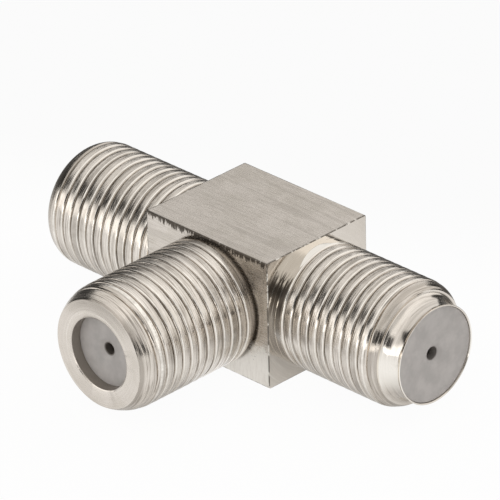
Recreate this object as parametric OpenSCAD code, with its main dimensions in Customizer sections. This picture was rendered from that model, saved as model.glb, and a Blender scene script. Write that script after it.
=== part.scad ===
// Three-way coaxial tee with a 3/8-32 threaded socket port on each arm, in millimetres.
// The run lies along X, the branch port points to -Y, and the block stands on its flat underside.
// The origin is the middle of that underside.

/* [Block] */
// Length of square bar left between the two run ports
block_len = 12; // [9:0.5:24]
// How far each flat of the square bar stands outside the thread
bar_over = 0.275; // [0.2:0.025:2]
// Rounding of the bar's four long edges
bar_edge_r = 0.2; // [0.05:0.05:0.6]

/* [Thread] */
// Major diameter of the thread
thread_d = 9.45; // [7:0.05:14]
// Distance from one turn to the next, 32 turns to the inch
thread_pitch = 0.79375; // [0.65:0.01:1.1]
// Flat width left on each crest
crest_w = 0.32; // [0.2:0.01:0.5]
// Flat width at the bottom of each groove
root_w = 0.05; // [0.03:0.01:0.1]
// Angle between the two flanks of a groove
thread_angle = 60; // [50:1:75]
// How far the thread runs on over the rounded end of a port
thread_on_dome = 0.6; // [0:0.1:1]
// Width of the undercut between a plain port's thread and the block
relief_w = 0.25; // [0.1:0.05:0.5]

/* [Ports] */
// Length of the left port from the block
left_len = 11.25; // [9:0.25:16]
// Length of the right port from the block, with its nose
right_len = 11.4; // [9:0.2:16]
// Length of the branch port from the block
branch_len = 10.8; // [8:0.2:16]
// Metal left between the bottom of the thread and the bore
barrel_wall = 0.9; // [0.6:0.05:1.2]
// Length of the rounding at the left mouth
left_dome_len = 1.3; // [0.8:0.1:2]
// Length of the rounding at the branch mouth
branch_dome_len = 1.6; // [0.8:0.1:2.2]
// How much the rounding takes off the radius
dome_drop = 0.625; // [0.4:0.025:0.8]
// Width of the ledge in a plain mouth that stops the insulator
mouth_ledge = 0.75; // [0.5:0.05:1]
// Depth from the mouth to the insulator
mouth_depth = 1.05; // [0.6:0.05:1.6]
// Bevel at the edge of the opening
mouth_bevel = 0.12; // [0.05:0.01:0.25]

/* [Right nose] */
// Smooth length between the right thread and the block
collar_len = 0.75; // [0.4:0.05:1.5]
// Length of the rounded shoulder after the last turn
shoulder_len = 1.2; // [0.8:0.1:2]
// How much the shoulder takes off the radius
shoulder_drop = 0.475; // [0.3:0.025:0.6]
// Small square step between the shoulder and the cove
shoulder_step = 0.1; // [0.05:0.01:0.2]
// Length of the nose past the shoulder
nose_len = 1.3; // [1:0.1:2.5]
// Metal left round the bore at the nose
nose_wall = 0.17; // [0.14:0.01:0.3]
// How far the lip stands out from the nose
lip_flare = 0.08; // [0.02:0.01:0.15]
// Length of the flared lip
lip_len = 0.2; // [0.1:0.05:0.3]
// Bevel inside the lip
lip_bevel = 0.12; // [0.05:0.01:0.14]

/* [Branch seat] */
// Wall of the spigot that is pressed into the block
spigot_wall = 0.55; // [0.4:0.05:0.8]
// Metal left between the seat and the run bore
seat_web = 0.15; // [0.1:0.05:0.4]
// Width of the ledge at the bottom of the branch bore
way_ledge = 0.45; // [0.3:0.05:1]
// Play drawn on each side of a pressed joint
press_gap = 0.01; // [0.005:0.005:0.02]
// Play at the end of a spigot, rod or tail
end_gap = 0.05; // [0.02:0.01:0.1]

/* [Insulators] */
// Play round an insulator
insulator_gap = 0.02; // [0.01:0.01:0.05]
// Length of an insulator
insulator_len = 4; // [3:0.25:5]
// Thickness of plastic in front of the contact
insulator_front = 0.9; // [0.6:0.1:1.5]
// Play round the wire in its hole
wire_hole_gap = 0.1; // [0.05:0.05:0.25]
// How far the funnel opens out round the wire hole
funnel_over = 0.35; // [0.1:0.05:0.5]
// Depth of the funnel
funnel_depth = 0.3; // [0.1:0.05:0.4]
// Width of face between the shallow dish and the mouth
dish_rim = 0.4; // [0.1:0.05:0.8]
// Depth of the dish
dish_depth = 0.06; // [0.02:0.02:0.2]
// Bevel at the back edge of an insulator
insulator_bevel = 0.25; // [0.1:0.05:0.4]

/* [Contacts] */
// Diameter of the hole that grips the wire
socket_d = 1; // [0.8:0.05:1.2]
// Depth of that hole
socket_depth = 6; // [4:0.5:7]
// Wall of the contact rods round the hole
finger_wall = 0.5; // [0.4:0.05:0.7]
// Width of the slots between the spring fingers
slot_w = 0.25; // [0.15:0.05:0.4]
// Solid length left between the slots and the collar
slot_stop = 0.3; // [0.1:0.1:0.6]
// Room round the fingers inside the insulator
finger_gap = 0.15; // [0.05:0.05:0.25]
// How far the collar that stops behind an insulator stands out of the rod
stop_over = 0.5; // [0.4:0.05:0.8]
// Length of that collar
stop_len = 0.6; // [0.3:0.1:1]
// Bevel at a contact's tip
tip_bevel = 0.2; // [0.1:0.05:0.3]
// Wall of the rod round the tail of the branch contact
tail_wall = 0.6; // [0.4:0.05:0.7]
// Depth of the flat on the run contact under the branch contact
flat_depth = 0.2; // [0.1:0.05:0.4]

/* [Hidden] */
$fn = 96;

NICKEL = [0.75, 0.73, 0.70];
GREY_PLASTIC = [0.62, 0.61, 0.60];
TINNED_BRONZE = [0.72, 0.62, 0.45];

// Cutting tools run this far past the surface they cut
over = 0.5;
// Number of short straight faces in a rounded shoulder or cove
arc_steps = 8;

thread_r = thread_d / 2;
groove_w = thread_pitch - crest_w;
thread_depth = (groove_w - root_w) / 2 / tan(thread_angle / 2);
root_r = thread_r - thread_depth;
bore_r = root_r - barrel_wall;
mouth_r = bore_r - mouth_ledge;
spigot_r = bore_r + spigot_wall;
nose_r = bore_r + nose_wall;

bar_w = thread_d + 2 * bar_over;
axis_z = bar_w / 2;

socket_r = socket_d / 2;
contact_r = socket_r + finger_wall;
tail_r = contact_r - tail_wall;
wire_hole_r = socket_r + wire_hole_gap;

// Distances from the middle of the block along each port's axis
run_face = block_len / 2;
branch_face = bar_w / 2;
left_end = run_face + left_len;
right_end = run_face + right_len;
branch_end = branch_face + branch_len;
left_plug = left_end - mouth_depth;
right_plug = right_end - lip_bevel;
branch_plug = branch_end - mouth_depth;
seat_at = bore_r + seat_web;
flat_at = contact_r - flat_depth;

// Turn local +Z, with its zero in the middle of the block, to point out of a port
module toward_right() translate([0, 0, axis_z]) rotate([0, 90, 0]) children();
module toward_left() translate([0, 0, axis_z]) rotate([0, -90, 0]) children();
module toward_branch() translate([0, 0, axis_z]) rotate([90, 0, 0]) children();

// Outline points of a rounding that leaves radius r smoothly at height z and loses drop over len
function rounding(r, drop, z, len) =
    let (arc_r = (len * len + drop * drop) / (2 * drop), sweep = asin(len / arc_r))
    [for (i = [0:arc_steps])
        let (a = sweep * i / arc_steps) [r - arc_r * (1 - cos(a)), z + arc_r * sin(a)]];

// Outline points of a quarter-round hollow from radius r0 at height z in to r1
function cove(r0, r1, z) =
    let (arc_r = r0 - r1)
    [for (i = [0:arc_steps])
        let (a = 90 * i / arc_steps) [r0 - arc_r * sin(a), z + arc_r * (1 - cos(a))]];

// Round bar or hole about Z between two heights
module rod(r, z0, z1) translate([0, 0, z0]) cylinder(r = r, h = z1 - z0);

// Half section of one thread groove, open to the outside
module groove() {
    // The flanks are carried on outside the crest, so that the cut is clean
    mouth_half = groove_w / 2 + over * tan(thread_angle / 2);
    polygon([
        [-thread_depth, -root_w / 2], [over, -mouth_half],
        [over, mouth_half], [-thread_depth, root_w / 2]
    ]);
}

// Solid barrel turned from an outline, with thread grooves between two heights
module threaded_barrel(outline, z0, z1) {
    turns = floor((z1 - z0) / thread_pitch);
    rotate_extrude() difference() {
        polygon(outline);
        for (i = [0:turns - 1])
            translate([thread_r, z0 + (i + 0.5) * thread_pitch]) groove();
    }
}

// Plain port on the face of the block: undercut, thread, rounded end and flat mouth ring
module plain_port(face, end, dome_len) {
    thread_at = face + relief_w;
    dome_at = end - dome_len;
    outline = concat(
        [[0, face - over], [root_r, face - over], [root_r, thread_at], [thread_r, thread_at]],
        rounding(thread_r, dome_drop, dome_at, dome_len),
        [[0, end]]
    );
    threaded_barrel(outline, thread_at, dome_at + thread_on_dome);
}

// Opening of a plain mouth, with its bevel, down to the insulator
module mouth(end) {
    edge_r = mouth_r + mouth_bevel;
    rotate_extrude() polygon([
        [0, end - mouth_depth - over], [mouth_r, end - mouth_depth - over], [mouth_r, end - mouth_bevel],
        [edge_r, end], [edge_r, end + over], [0, end + over]
    ]);
}

// Right port: smooth collar, thread, rounded shoulder, cove and thin lipped nose
module nosed_port(face, end) {
    shoulder_end = end - nose_len;
    shoulder_at = shoulder_end - shoulder_len;
    outline = concat(
        [[0, face - over], [thread_r, face - over]],
        rounding(thread_r, shoulder_drop, shoulder_at, shoulder_len),
        cove(thread_r - shoulder_drop - shoulder_step, nose_r, shoulder_end),
        [[nose_r, end - lip_len], [nose_r + lip_flare, end], [0, end]]
    );
    threaded_barrel(outline, face + collar_len, shoulder_at + thread_on_dome);
}

// Run bore from the right end down to the ledge behind the left mouth
module run_bore() {
    edge_r = bore_r + lip_bevel;
    toward_right() rotate_extrude() polygon([
        [0, -left_plug], [bore_r, -left_plug], [bore_r, right_end - lip_bevel],
        [edge_r, right_end], [edge_r, right_end + over], [0, right_end + over]
    ]);
}

// Square bar with its four long edges rounded as drawn
module bar() {
    inner_w = bar_w - 2 * bar_edge_r;
    translate([-run_face, 0, axis_z]) rotate([90, 0, 90]) linear_extrude(block_len) {
        square([inner_w, bar_w], center = true);
        square([bar_w, inner_w], center = true);
        for (y = [-1, 1], z = [-1, 1])
            translate([y, z] * inner_w / 2) circle(r = bar_edge_r);
    }
}

// Block and both run ports, turned from one bar and bored from the right
module body() {
    color(NICKEL) difference() {
        union() {
            bar();
            toward_right() nosed_port(run_face, right_end);
            toward_left() plain_port(run_face, left_end, left_dome_len);
        }
        run_bore();
        toward_left() mouth(left_end);
        toward_branch() {
            rod(spigot_r + press_gap, seat_at, branch_face + over);
            rod(bore_r - way_ledge, 0, branch_face);
        }
    }
}

// Threaded barrel with its spigot, bored from behind up to the ledge of its mouth
module branch_barrel() {
    color(NICKEL) toward_branch() difference() {
        union() {
            intersection() {
                plain_port(branch_face, branch_end, branch_dome_len);
                rod(thread_d, branch_face, branch_end);
            }
            rod(spigot_r, seat_at + end_gap, branch_face + over);
        }
        rod(bore_r, 0, branch_plug);
        mouth(branch_end);
    }
}

// Moulded plug with its face at a given height: dish, funnel, wire hole and finger pocket
module insulator(face) {
    r = bore_r - insulator_gap;
    back = face - insulator_len;
    pocket_r = contact_r + finger_gap;
    funnel_top = face - dish_depth;
    color(GREY_PLASTIC) rotate_extrude() polygon([
        [wire_hole_r, funnel_top - funnel_depth], [wire_hole_r + funnel_over, funnel_top],
        [mouth_r - dish_rim, face], [r, face], [r, back + insulator_bevel], [r - insulator_bevel, back],
        [pocket_r, back], [pocket_r, face - insulator_front], [wire_hole_r, face - insulator_front]
    ]);
}

module left_insulator() toward_left() insulator(left_plug);
module right_insulator() toward_right() insulator(right_plug);
module branch_insulator() toward_branch() insulator(branch_plug);

// Height of a contact's tip behind the insulator whose face is given
function tip_at(face) = face - insulator_front - end_gap;

// Turned contact from a height up to its tip, with the collar that stops behind its insulator
module contact_rod(from, face) {
    tip = tip_at(face);
    stop_top = face - insulator_len - end_gap;
    stop_r = contact_r + stop_over;
    rotate_extrude() polygon([
        [0, from], [contact_r, from], [contact_r, stop_top - stop_len], [stop_r, stop_top - stop_len],
        [stop_r, stop_top], [contact_r, stop_top], [contact_r, tip - tip_bevel],
        [contact_r - tip_bevel, tip], [0, tip]
    ]);
}

// Wire hole and crossed slots that make four spring fingers
module finger_cuts(face) {
    tip = tip_at(face);
    slot_len = insulator_len - insulator_front - slot_stop;
    reach = contact_r + over;
    rod(socket_r, tip - socket_depth, tip + over);
    for (turn = [0, 90])
        rotate(turn) translate([-reach, -slot_w / 2, tip - slot_len])
            cube([2 * reach, slot_w, slot_len + over]);
}

// Double-ended contact, flatted and drilled in the middle for the branch contact
module run_contact() {
    color(TINNED_BRONZE) difference() {
        union() {
            toward_right() contact_rod(0, right_plug);
            toward_left() contact_rod(0, left_plug);
        }
        toward_right() finger_cuts(right_plug);
        toward_left() finger_cuts(left_plug);
        toward_branch() {
            rod(tail_r + press_gap, -contact_r - over, contact_r);
            // The flat is a little longer than the branch contact is wide
            translate([-contact_r - over, -contact_r, flat_at])
                cube([2 * (contact_r + over), 2 * contact_r, over]);
        }
    }
}

// Branch contact seated on the flat, with its tail through the run contact
module branch_contact() {
    color(TINNED_BRONZE) toward_branch() {
        difference() {
            contact_rod(flat_at, branch_plug);
            finger_cuts(branch_plug);
        }
        rod(tail_r, -contact_r, flat_at + over);
    }
}

body();
branch_barrel();
left_insulator();
right_insulator();
branch_insulator();
run_contact();
branch_contact();
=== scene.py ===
import math

import bmesh
import bpy
from mathutils import Matrix, Vector


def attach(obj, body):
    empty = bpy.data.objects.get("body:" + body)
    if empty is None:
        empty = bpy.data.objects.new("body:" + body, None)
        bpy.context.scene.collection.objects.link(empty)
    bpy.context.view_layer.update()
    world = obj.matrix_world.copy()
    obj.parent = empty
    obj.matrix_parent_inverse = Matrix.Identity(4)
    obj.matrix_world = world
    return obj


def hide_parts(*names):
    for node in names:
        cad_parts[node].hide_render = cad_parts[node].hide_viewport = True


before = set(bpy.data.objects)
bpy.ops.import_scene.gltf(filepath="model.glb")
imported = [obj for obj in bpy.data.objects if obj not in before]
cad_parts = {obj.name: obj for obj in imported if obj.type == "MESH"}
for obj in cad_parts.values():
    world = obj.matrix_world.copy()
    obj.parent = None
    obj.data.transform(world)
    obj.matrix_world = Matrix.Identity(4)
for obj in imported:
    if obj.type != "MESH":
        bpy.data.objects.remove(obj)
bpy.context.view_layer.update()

MM = 0.001

# The view of the photograph: a very long lens, from the front right and above. The place and
# turn come from a fit to the block's corners and the rims of the ports.
turn, height, tilt = (math.radians(a) for a in (45.234, 28.232, -1.340))
middle = Vector((0, 0, 5))
off_right, off_up, distance = -0.525, 1.748, 449.73
backward = Vector((math.sin(turn) * math.cos(height), -math.cos(turn) * math.cos(height),
                   math.sin(height)))
level_right = Vector((math.cos(turn), math.sin(turn), 0))
level_up = backward.cross(level_right)
right = level_right * math.cos(tilt) + level_up * math.sin(tilt)
up = level_up * math.cos(tilt) - level_right * math.sin(tilt)
camera = bpy.data.objects.new("camera", bpy.data.cameras.new("camera"))
camera.data.sensor_width = 36
camera.data.lens = 454.6
camera.data.clip_start = 0.01
camera.data.clip_end = 20
spot = middle + off_right * right + off_up * up + distance * backward
aim = Matrix((right, up, backward)).transposed().to_4x4()
camera.matrix_world = Matrix.Translation(spot * MM) @ aim
bpy.context.scene.collection.objects.link(camera)
bpy.context.scene.camera = camera


# The plating: nickel over brass, a little cloudy, with the marks of the tool that cut the brass
# still showing through it. Sharp edges are rubbed brighter and dirt sits in the corners. The same
# bright and dark colours also paint highlights and shade.
NICKEL = (0.72, 0.664, 0.606)
CLOUDY = (0.64, 0.59, 0.525)
WEAR_AND_HIGHLIGHT = (0.90, 0.862, 0.80)
TARNISH = (0.34, 0.305, 0.265)
DIRT_AND_SHADE = (0.10, 0.085, 0.07)


class Tree:
    """A node tree, with short calls that add and join nodes."""

    def __init__(self, tree):
        self.tree = tree

    def add(self, kind, sockets=None, **settings):
        node = self.tree.nodes.new(kind)
        for name, value in settings.items():
            setattr(node, name, value)
        for key, value in (sockets or {}).items():
            if isinstance(value, bpy.types.NodeSocket):
                self.tree.links.new(value, node.inputs[key])
            else:
                node.inputs[key].default_value = value
        return node

    def math(self, operation, a, b=0.0, c=0.0):
        return self.add("ShaderNodeMath", {0: a, 1: b, 2: c}, operation=operation).outputs[0]

    def fold(self, operation, first, *others):
        for other in others:
            first = self.math(operation, first, other)
        return first

    def total(self, *values):
        return self.fold("ADD", *values)

    def less(self, first, second):
        return self.math("SUBTRACT", first, second)

    def product(self, *values):
        return self.fold("MULTIPLY", *values)

    def largest(self, *values):
        return self.fold("MAXIMUM", *values)

    def fade(self, value, low, high, at_low=0.0, at_high=1.0):
        """A smooth step between two values."""
        return self.add("ShaderNodeMapRange", {"Value": value, "From Min": low, "From Max": high,
                                               "To Min": at_low, "To Max": at_high},
                        interpolation_type="SMOOTHSTEP").outputs[0]

    def band(self, value, rise_from, rise_to, fall_from, fall_to):
        """1 in the band, and fading to 0 on both sides of it."""
        return self.product(self.fade(value, rise_from, rise_to),
                            self.fade(value, fall_from, fall_to, 1.0, 0.0))

    def noise(self, vector, scale, detail=2.0, roughness=0.5):
        return self.add("ShaderNodeTexNoise", {"Vector": vector, "Scale": scale, "Detail": detail,
                                               "Roughness": roughness}).outputs[0]

    def split(self, vector):
        return self.add("ShaderNodeSeparateXYZ", {0: vector}).outputs

    def times(self, vector, by):
        return self.add("ShaderNodeVectorMath", {0: vector, 1: by}, operation="MULTIPLY").outputs[0]

    def blend(self, share, first, second):
        node = self.add("ShaderNodeMix", {0: share}, data_type="RGBA")
        for socket, value in ((6, first), (7, second)):
            if isinstance(value, bpy.types.NodeSocket):
                self.tree.links.new(value, node.inputs[socket])
            else:
                node.inputs[socket].default_value = (*value, 1)
        return node.outputs[2]

    def bump(self, height, depth):
        """The normal of a relief, with its depth in mm."""
        return self.add("ShaderNodeBump", {"Height": height, "Distance": depth * MM,
                                           "Strength": 1.0}).outputs[0]


def group(kind, name, inputs, outputs):
    """A new node group with its sockets; gives the group, its helper and its input sockets."""
    nodes = bpy.data.node_groups.new(name, kind)
    for side, sockets in (("INPUT", inputs), ("OUTPUT", outputs)):
        for label, socket in sockets.items():
            nodes.interface.new_socket(label, in_out=side, socket_type="NodeSocket" + socket)
    t = Tree(nodes)
    return nodes, t, t.add("NodeGroupInput").outputs


def plating_group():
    nodes, t, given = group(
        "ShaderNodeTree", "nickel_over_brass",
        {"Place": "Vector", "Marks": "Vector", "Roughness": "Float", "Tarnish": "Float",
         "Wear and highlight": "Float", "Dirt and shade": "Float"},
        {"Color": "Color", "Roughness": "Float", "Height": "Float"})
    lines = t.noise(given["Marks"], 1.0, 3.0, 0.65)
    wide_lines = t.noise(given["Marks"], 0.21, 2.0)
    cloud = t.noise(given["Place"], 0.45, 3.0, 0.6)
    specks = t.noise(given["Place"], 6.0, 3.0, 0.75)
    colour = t.blend(t.fade(cloud, 0.35, 0.7, 0.0, 0.8), NICKEL, CLOUDY)
    colour = t.blend(t.fade(specks, 0.42, 0.66, 0.0, 0.35), colour, CLOUDY)
    colour = t.blend(t.fade(lines, 0.5, 0.75, 0.0, 0.45), colour, WEAR_AND_HIGHLIGHT)
    low_lines = t.largest(t.fade(lines, 0.32, 0.52, 1.0, 0.0),
                          t.fade(wide_lines, 0.35, 0.5, 0.7, 0.0))
    colour = t.blend(t.product(given["Tarnish"], low_lines), colour, TARNISH)
    # Wear, and painted highlights, lighten the colour
    colour = t.blend(given["Wear and highlight"], colour, WEAR_AND_HIGHLIGHT)
    # Dirt, and painted shade, darken it
    colour = t.blend(given["Dirt and shade"], colour, DIRT_AND_SHADE)
    rough = t.total(given["Roughness"], t.fade(cloud, 0.3, 0.7, -0.03, 0.05),
                    t.fade(specks, 0.35, 0.75, -0.02, 0.05),
                    t.product(given["Tarnish"], t.fade(lines, 0.5, 0.62, 0.0, 0.22)),
                    t.product(given["Dirt and shade"], 0.3))
    relief = t.total(t.product(lines, 0.9), t.product(wide_lines, 0.3), t.product(specks, 0.12))
    t.add("NodeGroupOutput", {"Color": colour, "Roughness": rough, "Height": relief})
    return nodes


plating_nodes = plating_group()


def start_material(name):
    """A new material, with its tree, its shader and the place on the piece in millimetres."""
    made = bpy.data.materials.new(name)
    made.use_nodes = True
    t = Tree(made.node_tree)
    shader = made.node_tree.nodes["Principled BSDF"]
    place = t.times(t.add("ShaderNodeTexCoord").outputs["Object"], (1000, 1000, 1000))
    return made, t, shader, place


def radius_about(t, place, axis):
    """Distance in mm from the run axis (X) or the branch axis (Y)."""
    flat = (0, 1, 1) if axis == "X" else (1, 0, 1)
    centred = t.add("ShaderNodeVectorMath", {0: place, 1: (0, 0, -axis_z)},
                    operation="ADD").outputs[0]
    return t.add("ShaderNodeVectorMath", {0: t.times(centred, flat)},
                 operation="LENGTH").outputs["Value"]


def finish_plating(t, shader, place, marks, roughness, depth, tarnish=0.0, wear_and_highlight=0.0, dirt_and_shade=0.0,
                   share=1.0):
    """Join the plating to the shader, with its marks as a relief: depth in mm, times share."""
    plated = t.add("ShaderNodeGroup", {"Place": place, "Marks": marks, "Roughness": roughness,
                                       "Tarnish": tarnish, "Wear and highlight": wear_and_highlight, "Dirt and shade": dirt_and_shade},
                   node_tree=plating_nodes).outputs
    shader.inputs["Metallic"].default_value = 1.0
    t.tree.links.new(plated["Color"], shader.inputs["Base Color"])
    t.tree.links.new(plated["Roughness"], shader.inputs["Roughness"])
    t.tree.links.new(t.bump(t.product(plated["Height"], share), depth), shader.inputs["Normal"])


# The body: one piece of square brass bar. The block is the bar as drawn, with fine lines along
# it, and both run barrels are turned from the same bar. The run bore goes in from the right end.
block_len, bar_w, axis_z = 12, 10, 5
run_face, branch_face = block_len / 2, bar_w / 2
long_edge_r, end_bevel = 0.12, 0.05
thread_r, pitch, thread_depth, crest_power = 4.725, 0.79375, 0.24, 7.0
thread_sides, rows_per_turn = 112, 24
root_r = thread_r - thread_depth
bore_r, mouth_r, mouth_depth, mouth_bevel = 3.458, 2.708, 1.05, 0.12
left_end, right_end, branch_end = 17.25, 17.4, 15.8
left_dome_len, branch_dome_len, dome_drop = 1.4, 2.0, 0.625
shoulder_len, shoulder_drop, shoulder_step = 1.25, 0.475, 0.1
nose_len, cove_len, lip_len = 1.62, 1.27, 0.22
nose_r, lip_r, flange_r = 3.628, 3.708, 3.57
spigot_r, seat_at, way_ledge = 4.008, 3.608, 0.45
press_gap, plug_gap, end_gap = 0.01, 0.02, 0.05
overshoot = 0.5


def block_material():
    made, t, shader, place = start_material("drawn_flats")
    x, y, z = t.split(place)
    from_end = t.less(run_face, t.math("ABSOLUTE", x))
    from_side = t.less(bar_w / 2, t.math("ABSOLUTE", y))
    from_top = t.less(bar_w / 2, t.math("ABSOLUTE", t.less(z, axis_z)))
    # The second smallest of the three is the distance to the nearest edge
    nearer = t.math("MINIMUM", from_end, from_side)
    to_edge = t.largest(nearer, t.math("MINIMUM", t.largest(from_end, from_side), from_top))
    rub = t.noise(place, 1.7, 4.0, 0.6)
    edge = t.fade(to_edge, 0.03, 0.16, 1.0, 0.0)
    edge_wear = t.product(edge, t.fade(rub, 0.5, 0.6, 0.0, 0.9))
    edge_dirt = t.product(edge, t.fade(rub, 0.5, 0.6, 0.85, 0.2))
    # Ragged dark burr rolled over along the top front edge
    ragged = t.noise(t.times(place, (1.0, 0.2, 0.2)), 5.0, 4.0, 0.7)
    from_front = t.total(y, bar_w / 2)
    below_top = t.total(t.less(bar_w, z), t.fade(ragged, 0.35, 0.65, 0.2, -0.3))
    burr = t.product(t.fade(from_front, 0.02, 0.16, 1.0, 0.0),
                     t.fade(below_top, 0.2, 0.4, 1.0, 0.0),
                     t.fade(ragged, 0.32, 0.46, 0.25, 1.0))
    # A painted highlight makes the foot of the front a speckled, matt white
    ragged_z = t.total(z, t.fade(rub, 0.3, 0.7, -0.6, 0.6))
    foot_highlight = t.product(t.fade(from_front, 0.1, 0.3, 1.0, 0.0), t.fade(ragged_z, 2.4, 3.6, 1.0, 0.0))
    finish_plating(t, shader, place, marks=t.times(place, (0.6, 12.0, 12.0)),
                   roughness=t.math("MULTIPLY_ADD", foot_highlight, 0.12, 0.16), depth=0.009, tarnish=0.4,
                   wear_and_highlight=t.largest(edge_wear, t.product(foot_highlight, t.fade(ragged, 0.3, 0.6, 0.6, 1.0))),
                   dirt_and_shade=t.largest(burr, edge_dirt, 0.08))
    t.tree.links.new(t.less(1.0, t.product(foot_highlight, 0.3)), shader.inputs["Metallic"])
    return made


def facing_marks(t, place, axis):
    """Rings left by the tool that faced an end, about the run axis (X) or the branch axis (Y)."""
    x, y, z = t.split(place)
    return t.add("ShaderNodeCombineXYZ", {0: t.product(radius_about(t, place, axis), 9.0),
                                          1: t.product(y if axis == "X" else x, 0.25),
                                          2: t.product(z, 0.25)}).outputs[0]


def end_face_material():
    made, t, shader, place = start_material("faced_ends")
    finish_plating(t, shader, place, facing_marks(t, place, "X"), roughness=0.1, depth=0.002,
                   tarnish=0.1, wear_and_highlight=0.3)
    return made


def barrel_material(name, axis, low, high):
    """Lathe marks round the barrel, rubbed crests with painted highlights on their edges, and dirt
    with painted shade in the grooves from low to high.
    """
    made, t, shader, place = start_material(name)
    x, y, z = t.split(place)
    r = radius_about(t, place, axis)
    along = x if axis == "X" else y
    marks = t.times(place, (8.5, 0.3, 0.3) if axis == "X" else (0.3, 8.5, 0.3))
    rub = t.noise(place, 1.3, 3.0, 0.6)
    crest = t.fade(r, thread_r - 0.02, thread_r)
    # A fine bright line is painted along both edges of each crest: rubbed wear and a painted
    # highlight
    crest_edge_glint = t.band(r, thread_r - 0.045, thread_r - 0.03, thread_r - 0.016, thread_r - 0.008)
    wear_and_highlight = t.largest(t.product(crest, t.fade(rub, 0.35, 0.65, 0.0, 0.2)),
                     t.product(crest_edge_glint, t.fade(rub, 0.3, 0.6, 0.5, 1.0)))
    inside = t.band(along, low - 0.1, low + 0.3, high - 0.3, high + 0.1)
    # Dirt and painted shade darken the grooves, most at the root
    dirt_and_shade = t.product(t.fade(r, root_r, thread_r - 0.07, 0.85, 0.0), inside)
    cut = 1.0
    if axis == "X":
        # Next to the block the right barrel is left plain and smooth. Its front side carries a
        # painted dark reflection with a ragged upper edge, broken by a fine painted highlight line
        # round it.
        plain = t.band(along, run_face - 0.1, run_face + 0.05, run_face + 0.75, run_face + 0.95)
        cut = t.less(1.0, plain)
        ragged = t.noise(t.times(place, (9.0, 0.7, 0.7)), 1.0, 2.0)
        ragged_z = t.total(z, t.fade(ragged, 0.3, 0.7, -0.35, 0.35))
        dark_reflection = t.product(t.fade(ragged_z, 8.0, 8.4, 1.0, 0.0),
                          t.fade(ragged_z, 5.2, 6.8, 0.62, 0.98),
                          t.fade(ragged_z, 1.6, 3.0), plain, t.fade(y, -1.5, 0.0, 1.0, 0.0))
        glint_line = t.band(along, run_face + 0.30, run_face + 0.35, run_face + 0.37, run_face + 0.42)
        dirt_and_shade = t.largest(dirt_and_shade, t.product(dark_reflection, t.less(1.0, glint_line)))
        # The plain collar is rubbed brighter, and its top is painted brighter still as a painted
        # highlight
        wear_and_highlight = t.largest(wear_and_highlight, t.product(plain, t.fade(z, 7.4, 8.6, 0.5, 1.0)))
    else:
        # A painted dark reflection dulls the branch barrel along its top, most of all in the
        # grooves
        streaks = t.fade(t.noise(marks, 1.3, 3.0), 0.4, 0.55, 0.25, 0.85)
        dark_reflection = t.product(t.band(x, -4.3, -2.9, -0.3, 1.5), inside, streaks)
        dirt_and_shade = t.largest(dirt_and_shade, t.product(dark_reflection, t.fade(r, root_r, thread_r, 1.0, 0.6)))
    finish_plating(t, shader, place, marks, roughness=t.math("MULTIPLY_ADD", cut, 0.03, 0.05),
                   depth=0.03, tarnish=cut, wear_and_highlight=wear_and_highlight, dirt_and_shade=dirt_and_shade, share=cut)
    return made


def mouth_material(name, axis):
    """The bore and the flat mouth ring: faced brass, darker towards the top, with a dull bore wall
    darkened by painted shade.
    """
    made, t, shader, place = start_material(name)
    bore_shade = t.fade(radius_about(t, place, axis), mouth_r + 0.01, mouth_r + 0.06, 0.48, 0.0)
    finish_plating(t, shader, place, facing_marks(t, place, axis), roughness=0.25, depth=0.004,
                   tarnish=t.fade(t.split(place)["Z"], 6.6, 9.2, 0.1, 1.0), dirt_and_shade=bore_shade)
    return made


def nose_material():
    """The nose and its cove are turned with a round tool and come out bright and smooth."""
    made, t, shader, place = start_material("bright_nose")
    z = t.split(place)["Z"]
    # A painted highlight brightens the nose in a band just below the axis, fading above and below
    cove_highlight = t.math("MINIMUM", t.fade(z, 5.2, 7.2, 0.9, 0.1), t.fade(z, 2.6, 4.0, 0.1, 0.9))
    finish_plating(t, shader, place, marks=t.times(place, (7.0, 0.3, 0.3)), roughness=0.1,
                   depth=0.003, tarnish=0.6, wear_and_highlight=cove_highlight)
    return made


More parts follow.
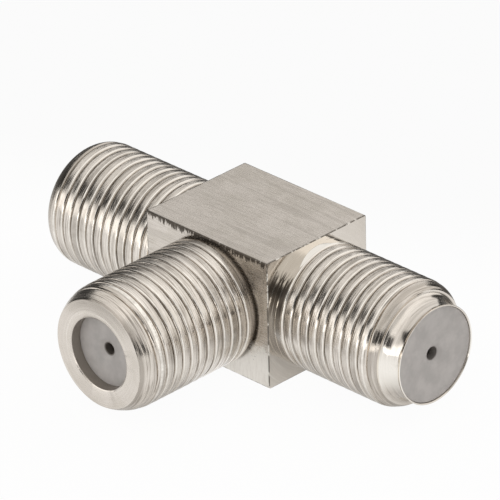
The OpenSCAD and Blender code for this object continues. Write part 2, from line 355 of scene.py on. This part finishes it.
def thread_tree():
    lengths = ("Radius", "Pitch", "Depth", "Crest power", "Start", "Run in", "Thread from",
               "Thread to", "End", "Dome from", "Dome radius")
    nodes, t, given = group(
        "GeometryNodeTree", "lathe_cut_thread",
        {"Geometry": "Geometry", **dict.fromkeys(lengths, "Float"),
         **dict.fromkeys(("Sides", "Rows", "Turns"), "Int"), "Plating": "Material"},
        {"Geometry": "Geometry"})
    # A flat grid: one column for each side, and a row for each small step along the thread. It
    # has a turn to spare at either end, where the rows are pressed flat against the end.
    spans = t.total(given["Turns"], 2.0)
    grid = t.add("GeometryNodeMeshGrid", {
        "Size X": 1.0, "Size Y": 1.0, "Vertices X": t.total(given["Sides"], 1.0),
        "Vertices Y": t.total(t.product(given["Rows"], spans), 1.0)}).outputs[0]
    across, along, _ = t.split(t.add("GeometryNodeInputPosition").outputs[0])
    share = t.total(across, 0.5)
    turns = t.less(t.math("MULTIPLY_ADD", t.total(along, 0.5), spans, share), 1.5)
    level = t.math("MULTIPLY_ADD", turns, given["Pitch"], given["Start"])
    level = t.math("MINIMUM", t.largest(level, given["Start"]), given["End"])
    # Depth of the groove at this place in the turn: a full, barely crowned crest that steepens
    # to a sharp root
    cut_turns = t.math("DIVIDE", t.less(level, given["Start"]), given["Pitch"])
    in_turn = t.math("FRACT", t.less(cut_turns, share))
    off_crest = t.less(1.0, t.product(t.math("ABSOLUTE", t.less(in_turn, 0.5)), 2.0))
    steep = t.product(t.math("POWER", off_crest, given["Crest power"]), 0.93)
    crown = t.product(t.math("POWER", off_crest, 2.0), 0.07)
    run_out = t.less(given["Thread to"], t.product(given["Pitch"], 1.6))
    cut = t.band(level, given["Thread from"], t.total(given["Thread from"], given["Run in"]),
                 run_out, given["Thread to"])
    groove = t.product(t.total(steep, crown), given["Depth"], cut)
    # The rounded end is an arc that leaves the barrel smoothly
    past = t.largest(t.less(level, given["Dome from"]), 0.0)
    arc = t.math("SQRT", t.less(t.product(given["Dome radius"], given["Dome radius"]),
                                t.product(past, past)))
    dome = t.total(t.less(given["Radius"], given["Dome radius"]), arc)
    # The first and the last row close the ends
    inner_row = t.math("LESS_THAN", t.math("ABSOLUTE", along), 0.5 - 1e-5)
    radius = t.product(t.less(dome, groove), inner_row)
    angle = t.product(share, 2 * math.pi)
    place_at = t.add("ShaderNodeCombineXYZ", {0: t.product(radius, t.math("COSINE", angle)),
                                              1: t.product(radius, t.math("SINE", angle)),
                                              2: level}).outputs[0]
    moved = t.add("GeometryNodeSetPosition", {"Geometry": grid, "Position": place_at}).outputs[0]
    closed = t.add("GeometryNodeMergeByDistance", {"Geometry": moved, "Distance": 2e-6}).outputs[0]
    real = t.add("GeometryNodeRealizeInstances", {"Geometry": closed}).outputs[0]
    plated = t.add("GeometryNodeSetMaterial", {"Geometry": real,
                                               "Material": given["Plating"]}).outputs[0]
    t.add("NodeGroupOutput", {"Geometry": plated})
    return nodes


thread_nodes = thread_tree()


def new_object(name, mesh):
    """An object at the origin, in the scene."""
    made = bpy.data.objects.new(name, mesh)
    bpy.context.scene.collection.objects.link(made)
    return made


def applied(made):
    """Turn an object's modifiers into a plain mesh."""
    depsgraph = bpy.context.evaluated_depsgraph_get()
    mesh = bpy.data.meshes.new_from_object(made.evaluated_get(depsgraph))
    made.modifiers.clear()
    made.data = mesh
    return made


def finished(shape, name):
    """A mesh from a closed shape, with its normals outward."""
    bmesh.ops.recalc_face_normals(shape, faces=shape.faces)
    mesh = bpy.data.meshes.new(name)
    shape.to_mesh(mesh)
    shape.free()
    return mesh


def threaded(name, plating, start, thread_from, run_in, thread_to, end, dome_len, dome_drop):
    """A threaded barrel about +Z, closed at both ends, with the last of it rounded off."""
    made = new_object(name, bpy.data.meshes.new(name))
    made.data.materials.append(plating)
    step = made.modifiers.new("thread", "NODES")
    step.node_group = thread_nodes
    values = {"Radius": thread_r * MM, "Pitch": pitch * MM, "Depth": thread_depth * MM,
              "Crest power": crest_power, "Start": start * MM, "Thread from": thread_from * MM,
              "Run in": run_in * MM, "Thread to": thread_to * MM, "End": end * MM,
              "Dome from": (end - dome_len) * MM,
              "Dome radius": (dome_len ** 2 + dome_drop ** 2) / (2 * dome_drop) * MM,
              "Sides": thread_sides, "Rows": rows_per_turn,
              "Turns": math.ceil((end - start) / pitch), "Plating": plating}
    for item in thread_nodes.interface.items_tree:
        if item.in_out == "INPUT" and item.name in values:
            step[item.identifier] = values[item.name]
    applied(made)
    shape = bmesh.new()
    shape.from_mesh(made.data)
    bmesh.ops.recalc_face_normals(shape, faces=shape.faces)
    shape.to_mesh(made.data)
    shape.free()
    return made


def turned(name, outline, material, sides=128):
    """A closed solid turned about +Z from (radius, height) points in mm.

    The outline starts and ends at radius 0, or goes round and ends at its first point."""
    shape = bmesh.new()
    angles = [2 * math.pi * i / sides for i in range(sides)]
    rings = []
    for radius, level in outline:
        if radius == 0:
            rings.append([shape.verts.new((0, 0, level * MM))] * sides)
        elif rings and (radius, level) == outline[0]:
            rings.append(rings[0])
        else:
            rings.append([shape.verts.new((radius * MM * math.cos(a), radius * MM * math.sin(a),
                                           level * MM)) for a in angles])
    for low, high in zip(rings, rings[1:]):
        for i in range(sides):
            j = (i + 1) % sides
            shape.faces.new(dict.fromkeys((low[i], low[j], high[j], high[i])))
    mesh = finished(shape, name)
    mesh.materials.append(material)
    return new_object(name, mesh)


def rod(name, radius, start, end, material):
    return turned(name, [(0, start), (radius, start), (radius, end), (0, end)], material)


def mouth_cut(name, end, material):
    """The opening of a plain mouth, with its bevelled edge."""
    edge_r, back = mouth_r + mouth_bevel, end - mouth_depth - 2
    return turned(name, [(0, back), (mouth_r, back), (mouth_r, end - mouth_bevel),
                         (mouth_r + 0.02, end - 0.06), (edge_r, end),
                         (edge_r + overshoot, end + overshoot), (0, end + overshoot)], material)


def facing(made, port):
    """Turn a solid made about +Z to point out of a port, with its place kept in the mesh."""
    angle, axis = {"right": (90, "Y"), "left": (-90, "Y"), "branch": (90, "X")}[port]
    made.data.transform(Matrix.Translation((0, 0, axis_z * MM))
                        @ Matrix.Rotation(math.radians(angle), 4, axis))
    return made


def machine(base, steps):
    """Join ("UNION") or cut ("DIFFERENCE") closed solids that face a port, one after another."""
    for operation, port, tool in steps:
        step = base.modifiers.new(operation, "BOOLEAN")
        step.operation, step.solver, step.object = operation, "MANIFOLD", facing(tool, port)
        applied(base)
        bpy.data.objects.remove(tool)
    base.data.materials.clear()


def shade(made, flat=()):
    """Smooth faces, with sharp edges kept, and the flat sides in the given materials left flat."""
    made.data.set_sharp_from_angle(angle=math.radians(35))
    for face in made.data.polygons:
        slanted = max(abs(n) for n in face.normal) < 0.99999
        face.use_smooth = face.material_index not in flat or slanted


def drawn_bar(name, material):
    """The square bar with its long edges rounded and its ends barely bevelled."""
    shape = bmesh.new()
    bmesh.ops.create_cube(shape, size=1, matrix=Matrix.Translation((0, 0, axis_z * MM))
                          @ Matrix.Diagonal((block_len * MM, bar_w * MM, bar_w * MM, 1)))
    long_edges = [e for e in shape.edges if abs(e.verts[0].co.x - e.verts[1].co.x) > MM]
    bmesh.ops.bevel(shape, geom=long_edges, offset=long_edge_r * MM, segments=4, profile=0.5,
                    affect="EDGES")
    rims = [e for e in shape.edges if abs(e.verts[0].co.x - e.verts[1].co.x) < 0.001 * MM]
    bmesh.ops.bevel(shape, geom=rims, offset=end_bevel * MM, segments=2, profile=0.5,
                    affect="EDGES")
    mesh = finished(shape, name)
    mesh.materials.append(material)
    return new_object(name, mesh)


flats, faced = block_material(), end_face_material()
run_thread = barrel_material("turned_run", "X", -15.8, 14.9)
run_mouth = mouth_material("run_mouth", "X")
bright_nose = nose_material()
body = drawn_bar("plated_body", flats)
shoulder_end = right_end - nose_len
cove_r = thread_r - shoulder_drop - shoulder_step
nose = [(0, shoulder_end - 1), (cove_r, shoulder_end - 1)]
nose += [(cove_r - (cove_r - nose_r) * math.sin(math.radians(a)),
          shoulder_end + cove_len * (1 - math.cos(math.radians(a)))) for a in range(0, 91, 6)]
nose += [(nose_r, right_end - lip_len), (nose_r + 0.025, right_end - 0.14),
         (lip_r - 0.01, right_end - 0.04), (lip_r, right_end - 0.02), (lip_r - 0.02, right_end),
         (0, right_end)]
flange_seat_r = flange_r + plug_gap
machine(body, [
    ("UNION", "left", rod("left_neck", root_r, run_face - 1, run_face + 0.6, run_thread)),
    ("UNION", "left", threaded("left_thread", run_thread, start=run_face + 0.2, thread_from=5,
                               run_in=0.1, thread_to=left_end - 0.25, end=left_end,
                               dome_len=left_dome_len, dome_drop=dome_drop)),
    ("UNION", "right", threaded("right_thread", run_thread, start=5.37,
                                thread_from=run_face + 0.6, run_in=0.35,
                                thread_to=right_end - 1.3, end=shoulder_end,
                                dome_len=shoulder_len, dome_drop=shoulder_drop)),
    ("UNION", "right", turned("nose", nose, run_thread)),
    ("DIFFERENCE", "right", turned("run_bore", [
        (0, mouth_depth - left_end), (bore_r, mouth_depth - left_end), (bore_r, right_end - 0.4),
        (flange_seat_r, right_end - 0.16), (flange_seat_r, right_end - 0.03),
        (flange_r + 0.05, right_end), (flange_r + 0.05 + overshoot, right_end + overshoot),
        (0, right_end + overshoot)], run_mouth)),
    ("DIFFERENCE", "left", mouth_cut("left_mouth", left_end, run_mouth)),
    ("DIFFERENCE", "branch", rod("branch_seat", spigot_r + press_gap, seat_at, branch_face + 1,
                                 run_mouth)),
    ("DIFFERENCE", "branch", rod("branch_way", bore_r - way_ledge, 0, branch_face + 1,
                                 run_mouth)),
])
# Each face gets its material from where it lies
FLATS, FACED, THREAD, MOUTH, NOSE = range(5)
near = 0.01
for material in (flats, faced, run_thread, run_mouth, bright_nose):
    body.data.materials.append(material)
for face in body.data.polygons:
    x, y, z = face.center / MM - Vector((0, 0, axis_z))
    if abs(x) < run_face + 0.001 and max(abs(y), abs(z)) > bar_w / 2 - long_edge_r - near:
        face.material_index = FACED if abs(face.normal.x) > 0.98 else FLATS
    elif abs(abs(x) - run_face) < 0.001:
        face.material_index = FACED
    elif x < near - left_end or math.hypot(y, z) < bore_r + near or abs(x) < run_face - 0.1:
        face.material_index = MOUTH
    else:
        face.material_index = NOSE if x > shoulder_end - 0.001 else THREAD
shade(body, flat=(FLATS, FACED))
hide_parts("body")
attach(body, "root")


# The branch barrel: turned from round brass, threaded and plated like the run. A spigot behind
# it is pressed into the front of the block, and a thin dark gap is left round it.
branch_depth = 0.85
branch_thread = barrel_material("turned_branch", "Y", -13.8, -5.0)
branch_mouth = mouth_material("branch_mouth", "Y")
branch = facing(threaded("plated_branch", branch_thread, start=5.38, thread_from=4, run_in=0.1,
                         thread_to=branch_end - 0.2, end=branch_end,
                         dome_len=branch_dome_len, dome_drop=dome_drop), "branch")
machine(branch, [
    ("UNION", "branch", rod("branch_neck", root_r, branch_face, branch_face + 1, branch_thread)),
    ("UNION", "branch", rod("spigot", spigot_r, seat_at + end_gap, branch_face + 1, branch_thread)),
    ("DIFFERENCE", "branch", rod("branch_bore", bore_r, 3, branch_end - branch_depth,
                                 branch_mouth)),
    ("DIFFERENCE", "branch", mouth_cut("branch_opening", branch_end, branch_mouth)),
])
for material in (branch_thread, branch_mouth):
    branch.data.materials.append(material)
for face in branch.data.polygons:
    x, y, z = face.center / MM - Vector((0, 0, axis_z))
    face.material_index = 1 if y < near - branch_end or math.hypot(x, z) < bore_r + near else 0
shade(branch)
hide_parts("branch_barrel")
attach(branch, "root")


# The plugs: three moulded discs of grey plastic that hold the contacts. Each has a shallow dish
# with a soft funnel in the middle, so that a wire finds the hole.
PLASTIC = (0.505, 0.48, 0.465)
plug_r, plug_len, plug_front = bore_r - plug_gap, 4.0, 0.9
funnel_r, funnel_at, funnel_depth, pocket_r, back_bevel = 1.0, 0.28, 0.2, 1.15, 0.25


def plastic_material():
    made, t, shader, place = start_material("moulded_grey")
    flow = t.noise(place, 0.8, 3.0, 0.6)
    grain = t.noise(place, 16.0, 3.0, 0.6)
    colour = t.blend(t.fade(flow, 0.3, 0.7), PLASTIC, tuple(c * 0.82 for c in PLASTIC))
    r = t.math("MINIMUM", radius_about(t, place, "X"), radius_about(t, place, "Y"))
    # Painted shade darkens the wire hole and a thin ring round its mouth
    colour = t.blend(t.fade(r, 0.46, 0.56, 0.9, 0.0), colour, DIRT_AND_SHADE)
    for name, value in (("Base Color", colour), ("Roughness", t.fade(grain, 0.3, 0.7, 0.42, 0.55)),
                        ("Normal", t.bump(grain, 0.002))):
        t.tree.links.new(value, shader.inputs[name])
    return made


plastic = plastic_material()
for port, face, hole_r in (("left", left_end - mouth_depth, 0.5), ("right", right_end - 0.12, 0.5),
                           ("branch", branch_end - branch_depth, 0.44)):
    plug = [(hole_r, face - plug_front), (hole_r, face - funnel_at)]
    plug += [(hole_r + (funnel_r - hole_r) * i / 8,
              face - funnel_at + funnel_depth * math.sin(math.pi / 2 * i / 8)) for i in range(1, 9)]
    plug += [(r, face - depth) for r, depth in ((1.3, 0.065), (1.8, 0.05), (2.3, 0.03),
                                                (2.8, 0.012), (3.1, 0.002), (3.3, 0))]
    if port == "right":
        plug += [(flange_r - 0.02, face), (flange_r, face - 0.02), (flange_r, face - 0.06),
                 (plug_r, face - 0.29)]
    else:
        plug += [(plug_r - 0.04, face - 0.005), (plug_r, face - 0.05)]
    back = face - plug_len
    plug += [(plug_r, back + back_bevel), (plug_r - back_bevel, back), (pocket_r, back),
             (pocket_r, face - plug_front), plug[0]]
    made = facing(turned(port + "_plug", plug, plastic), port)
    shade(made)
    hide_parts(port + "_insulator")
    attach(made, "root")


# The contacts: turned bronze rods with spring fingers, tinned. Only their tips show, deep in
# the wire holes, so the CAD's own solids stay and get a tinned finish.
TIN = (0.66, 0.62, 0.55)
BRONZE = (0.60, 0.44, 0.26)


def tinned_material():
    made, t, shader, place = start_material("tinned_bronze_finish")
    patch = t.noise(place, 1.5, 4.0, 0.6)
    grain = t.noise(place, 22.0, 2.0, 0.5)
    colour = t.blend(t.fade(patch, 0.55, 0.72, 0.0, 0.7), TIN, BRONZE)
    shader.inputs["Metallic"].default_value = 1.0
    for name, value in (("Base Color", colour), ("Roughness", t.fade(grain, 0.3, 0.7, 0.28, 0.45)),
                        ("Normal", t.bump(grain, 0.001))):
        t.tree.links.new(value, shader.inputs[name])
    return made


tinned = tinned_material()
for node in ("run_contact", "branch_contact"):
    for slot in bpy.data.objects[node].material_slots:
        slot.material = tinned


# The studio: a white table under a light tent. The tent has a dark opening low on the left, and
# its open front shows a dark room, with a bright strip and a softbox standing in it.
def studio_world():
    world = bpy.data.worlds.new("light_tent")
    world.use_nodes = True
    t = Tree(world.node_tree)
    direction = t.add("ShaderNodeTexCoord").outputs["Generated"]
    x, y, z = t.split(direction)
    degree = 180 / math.pi
    rise = t.product(t.math("ARCSINE", z), degree)
    # Compass angle from +X towards +Y, in 0 to 360 degrees
    bearing = t.math("MULTIPLY_ADD", t.math("ARCTAN2", t.product(y, -1.0), t.product(x, -1.0)),
                     degree, 180.0)

    def window(value, low, high, soft):
        return t.band(value, low - soft, low + soft, high - soft, high + soft)

    # The dark opening: its top and its bottom edge both rise towards the front
    top_edge = t.math("MULTIPLY_ADD", bearing, 0.26, 24 - 138 * 0.26)
    low_edge = t.math("MULTIPLY_ADD", bearing, 0.7, 27 - 228 * 0.7)
    opening = t.product(t.band(bearing, 130, 136, 228, 240),
                        t.fade(t.less(rise, top_edge), -5.0, 5.0, 1.0, 0.0),
                        t.fade(t.less(rise, low_edge), -6.0, 6.0))
    # Behind the tee the tent's foot is dark, and lower towards the right
    foot_rise = t.total(rise, t.fade(bearing, 98.0, 114.0, -14.0, 0.0))
    behind = t.product(window(bearing, 82, 140, 6.0), t.less(1.0, t.fade(foot_rise, 8.0, 13.0)))
    # The dark room in front, seen as a low arch over the camera
    sag = t.product(t.math("POWER", t.less(bearing, 268.0), 2.0), 0.003)
    off_arch = t.math("ABSOLUTE", t.less(t.total(rise, sag), 24.0))
    room = t.product(window(bearing, 264, 356, 8.0), t.fade(off_arch, 8.0, 14.0, 1.0, 0.0))
    dark = t.largest(opening, behind, room)
    strip = t.product(window(bearing, 205, 262, 8.0), window(rise, -12, 20, 6.0))
    softbox = t.product(window(bearing, 262, 322, 5.0), window(rise, -14, 9, 3.0))
    # The tent's open seam, high on the right
    seam = t.add("ShaderNodeVectorMath", {0: direction, 1: (0.70, -0.22, 0.68)},
                 operation="DOT_PRODUCT").outputs["Value"]
    seam_shade = t.fade(seam, math.cos(math.radians(32)), math.cos(math.radians(18)), 1.0, 0.65)
    level = t.total(t.fade(x, -0.5, 0.15, 0.92, 1.16), t.product(strip, 0.75), softbox)
    level = t.product(level, seam_shade, t.less(1.0, t.product(dark, 0.93)))
    back = next(n for n in world.node_tree.nodes if n.type == "BACKGROUND")
    back.inputs["Color"].default_value = (1.0, 0.985, 0.965, 1)
    t.tree.links.new(level, back.inputs["Strength"])
    return world


bpy.context.scene.world = studio_world()


def table_material():
    """White card that shows as plain white to the eye and in the metal, and keeps a soft shadow."""
    made, t, shader, place = start_material("white_table")
    x, y, _ = t.split(place)
    forward = t.less(t.product(x, 0.4), t.product(y, 0.9))
    shader.inputs["Roughness"].default_value = 0.9
    shader.inputs["Specular IOR Level"].default_value = 0.0
    card = t.blend(t.fade(forward, -26.0, -8.0), (0.12, 0.115, 0.11), (0.80, 0.79, 0.775))
    t.tree.links.new(card, shader.inputs["Base Color"])
    # How far out from under the tee, in mm: the metal sees the card darker close in, a painted
    # shadow round the tee, and darker behind
    beside_run = t.largest(t.less(t.math("ABSOLUTE", y), 4.0), t.less(t.math("ABSOLUTE", x), 16.0))
    beside_branch = t.largest(t.less(t.math("ABSOLUTE", x), 4.0), t.less(t.product(y, -1.0), 15.0))
    out = t.math("MINIMUM", beside_run, beside_branch)
    lit = t.product(t.fade(forward, -14.0, 0.0, 0.05, 1.0), t.fade(out, -3.0, 6.5, 0.33, 1.0))
    # Light falls between the right port and the branch, on the card that the block's front sees
    between = t.product(t.band(x, -1.5, 1.0, 5.0, 6.5), t.band(y, -9.5, -8.0, -4.9, -4.4))
    ray = t.add("ShaderNodeLightPath").outputs
    seen = t.product(ray["Is Camera Ray"], 0.96)
    mirrored = t.product(t.largest(ray["Is Glossy Ray"], ray["Is Transmission Ray"]),
                         t.largest(lit, between))
    white = t.add("ShaderNodeEmission", {"Color": (1, 1, 1, 1), "Strength": 1.0}).outputs[0]
    mixed = t.add("ShaderNodeMixShader", {0: t.largest(seen, mirrored), 1: shader.outputs[0],
                                          2: white})
    output = next(n for n in made.node_tree.nodes if n.type == "OUTPUT_MATERIAL")
    t.tree.links.new(mixed.outputs[0], output.inputs["Surface"])
    return made


table_r, table_top, table_foot = 3000, -0.02, -30.02
table = turned("table_top", [(0, table_foot), (table_r, table_foot), (table_r, table_top),
                             (0, table_top)], table_material(), sides=96)
bpy.context.scene.view_settings.view_transform = "Standard"
